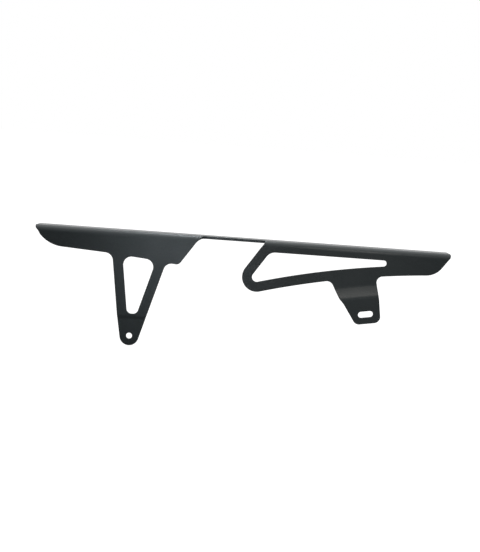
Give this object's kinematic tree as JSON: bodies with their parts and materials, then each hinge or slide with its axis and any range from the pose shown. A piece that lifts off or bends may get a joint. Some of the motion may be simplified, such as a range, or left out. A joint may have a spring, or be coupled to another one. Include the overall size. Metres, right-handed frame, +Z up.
{
  "type": "motorcycle chain guard",
  "caption": "Folded sheet-metal chain guard with a long top flange, two windowed side sections, a front bolt lug and a stepped rear tab with an adjusting slot.",
  "frame": {"origin": "centre of the front bolt hole, on the inner face of the front lug, which sits on the frame", "axes": "+X rearwards along the top fold, +Y inboard towards the chain, +Z up"},
  "size_m": [0.45, 0.035, 0.1239],
  "materials": {
    "powder_coat": "satin black powder coat with a fine orange peel"
  },
  "bodies": {
    "root": {"chain_guard": "powder_coat"}
  },
  "joints": []
}
